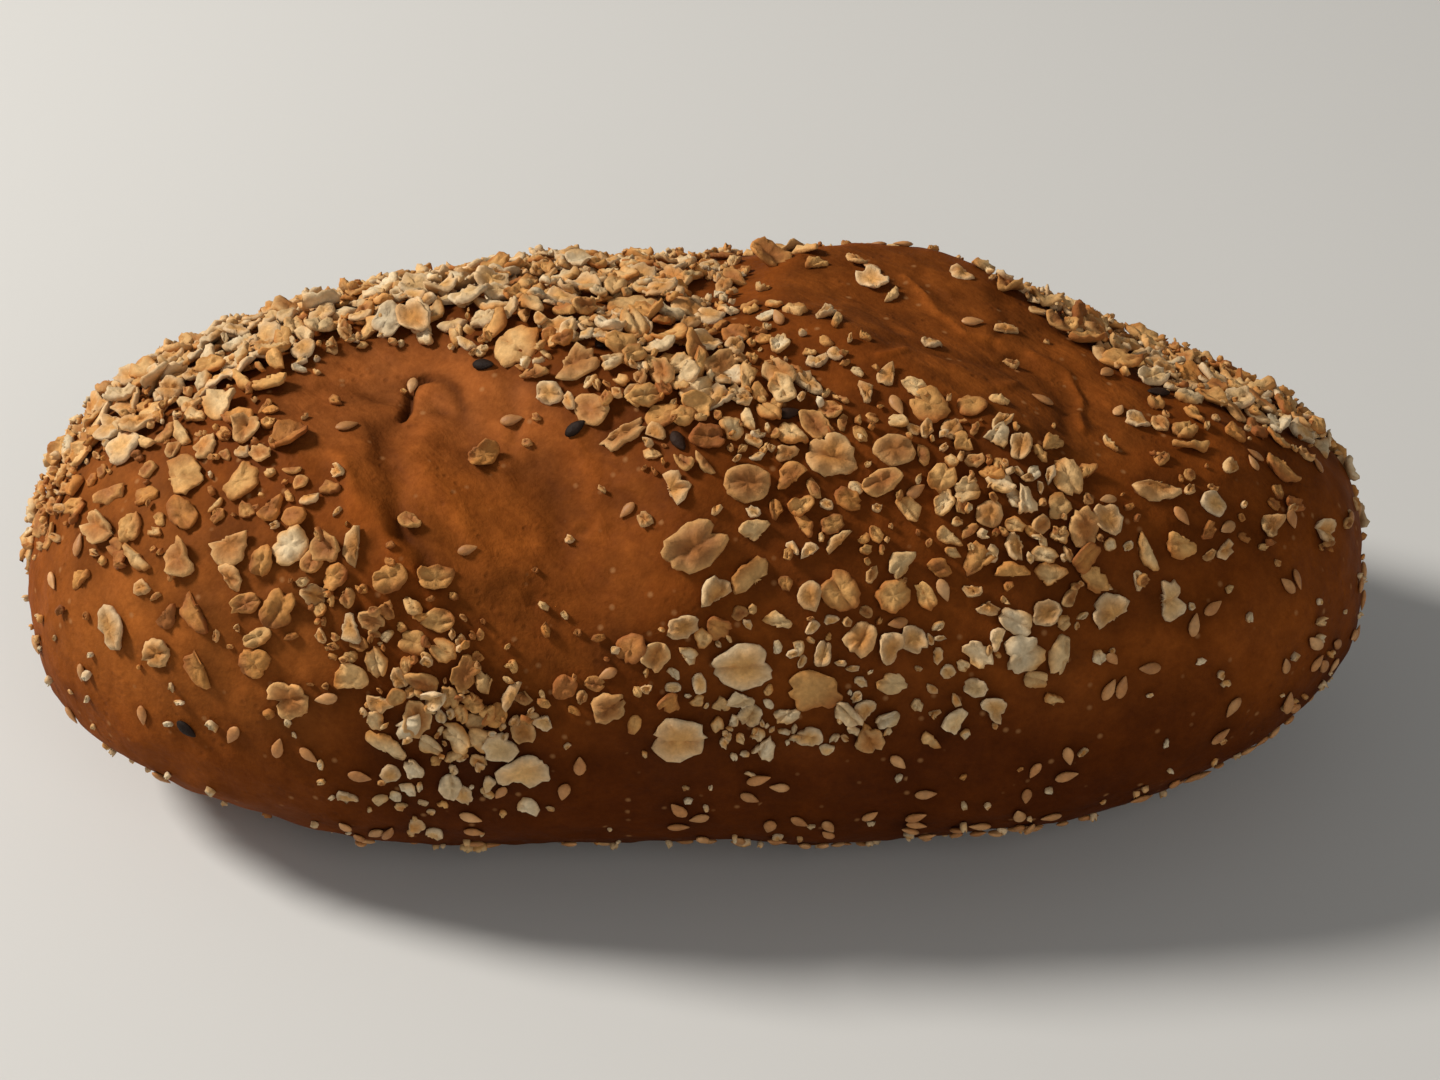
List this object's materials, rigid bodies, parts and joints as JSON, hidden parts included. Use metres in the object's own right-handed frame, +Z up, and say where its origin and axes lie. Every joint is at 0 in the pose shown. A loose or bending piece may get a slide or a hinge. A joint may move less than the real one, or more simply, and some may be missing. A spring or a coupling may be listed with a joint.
{
  "type": "oat-topped oval bread loaf",
  "caption": "Oval hearth-style bread loaf with two bare slash hollows on top, topped with rolled oats, sesame and linseed; flat base to rest on.",
  "frame": {"origin": "middle of the flat base the loaf rests on", "axes": "+X along the loaf, +Y towards its plain back, +Z up"},
  "size_m": [0.2098, 0.107, 0.0776],
  "materials": {
    "crust": "baked bread crust, satin brown with fine pores",
    "oat": "dry toasted rolled oat, matte",
    "sesame": "toasted sesame seed, satin",
    "linseed": "dark linseed, slightly glossy"
  },
  "bodies": {
    "root": {"bread_loaf": "crust", "oat_flake_01": "oat", "oat_flake_02": "oat", "oat_flake_03": "oat", "oat_flake_04": "oat", "oat_flake_05": "oat", "oat_flake_06": "oat", "oat_flake_07": "oat", "oat_flake_08": "oat", "oat_flake_09": "oat", "oat_flake_10": "oat", "oat_flake_11": "oat", "oat_flake_12": "oat", "oat_flake_13": "oat", "oat_flake_14": "oat", "oat_flake_15": "oat", "oat_flake_16": "oat", "oat_flake_17": "oat", "oat_flake_18": "oat", "oat_flake_19": "oat", "oat_flake_20": "oat", "oat_flake_21": "oat", "oat_flake_22": "oat", "oat_flake_23": "oat", "oat_flake_24": "oat", "oat_flake_25": "oat", "oat_flake_26": "oat", "oat_flake_27": "oat", "oat_flake_28": "oat", "oat_flake_29": "oat", "oat_flake_30": "oat", "oat_flake_31": "oat", "oat_flake_32": "oat", "oat_flake_33": "oat", "oat_flake_34": "oat", "oat_flake_35": "oat", "oat_flake_36": "oat", "oat_flake_37": "oat", "oat_flake_38": "oat", "sesame_seed_01": "sesame", "sesame_seed_02": "sesame", "sesame_seed_03": "sesame", "sesame_seed_04": "sesame", "sesame_seed_05": "sesame", "sesame_seed_06": "sesame", "sesame_seed_07": "sesame", "sesame_seed_08": "sesame", "sesame_seed_09": "sesame", "sesame_seed_10": "sesame", "sesame_seed_11": "sesame", "sesame_seed_12": "sesame", "sesame_seed_13": "sesame", "sesame_seed_14": "sesame", "linseed_01": "linseed", "linseed_02": "linseed", "linseed_03": "linseed", "linseed_04": "linseed", "linseed_05": "linseed", "linseed_06": "linseed", "linseed_07": "linseed"}
  },
  "joints": []
}
